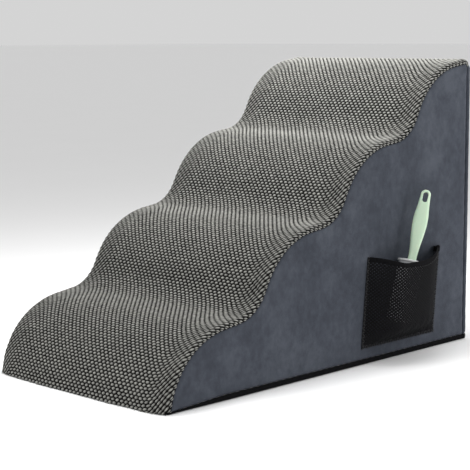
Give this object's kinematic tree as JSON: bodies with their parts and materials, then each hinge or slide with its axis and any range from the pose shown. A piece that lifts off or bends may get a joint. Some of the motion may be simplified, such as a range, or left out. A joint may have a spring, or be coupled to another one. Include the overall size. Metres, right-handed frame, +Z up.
{
  "type": "dog ramp",
  "caption": "Four-tier wave-profile foam ramp for dogs with a zipped fabric cover, an anti-slip base and a mesh side pocket that holds a lint roller.",
  "frame": {"origin": "centre of the flat face the ramp stands on", "axes": "+Z up, +Y along the ramp towards its high end, +X towards the side with the pocket"},
  "size_m": [0.452, 0.7446, 0.4978],
  "materials": {
    "foam_firm": "matte",
    "foam_soft": "matte",
    "liner": "matte",
    "woven_cover": "matte",
    "plush": "matte",
    "grip_base": "matte",
    "zip_tape": "matte",
    "zip_coil": "satin",
    "zip_metal": "satin",
    "pocket_mesh": "matte",
    "pocket_trim": "matte",
    "elastic": "matte",
    "mint_plastic": "satin",
    "white_plastic": "satin",
    "card": "matte",
    "sticky_paper": "satin"
  },
  "bodies": {
    "ramp": {"foam_core": "foam_firm", "comfort_layer": "foam_soft", "liner_wrap": "liner", "liner_side_left": "liner", "liner_side_right": "liner", "top_panel": "woven_cover", "side_panel_left": "plush", "side_panel_right": "plush", "back_panel": "plush", "base_panel": "grip_base", "zip_tape_lower": "zip_tape", "zip_tape_upper": "zip_tape", "zip_coil_lower": "zip_coil", "zip_coil_upper": "zip_coil", "zip_start_stop": "zip_metal", "zip_end_stop": "zip_metal", "pocket_panel": "pocket_mesh", "pocket_hem": "pocket_trim", "pocket_elastic": "elastic", "pocket_edge_binding": "pocket_trim"},
    "zip_slider": {"zip_slider": "zip_metal"},
    "zip_pull": {"zip_pull": "zip_metal"},
    "roller": {"roller_handle": "mint_plastic", "roller_spindle": "white_plastic", "spindle_clip": "white_plastic"},
    "roll": {"roller_reel": "white_plastic", "reel_end_cap": "white_plastic", "paper_core": "card", "adhesive_roll": "sticky_paper"}
  },
  "joints": [
    {"name": "zip_slider_run", "type": "slide", "parent": "ramp", "child": "zip_slider", "axis": [-1, 0, 0], "range_m": [0, 0.345]},
    {"name": "zip_pull_swing", "type": "hinge", "parent": "zip_slider", "child": "zip_pull", "pos_m": [0.168, 0.3733, 0.024], "axis": [0, 0, -1], "range_deg": [0, 180]},
    {"name": "roller_lift", "type": "slide", "parent": "ramp", "child": "roller", "axis": [0, 0.3206, 0.9472], "range_m": [0, 0.15]},
    {"name": "roller_spin", "type": "hinge", "parent": "roller", "child": "roll", "pos_m": [0.2243, 0.1741, 0.1657], "axis": [0, 0.3206, 0.9472], "continuous": true}
  ]
}
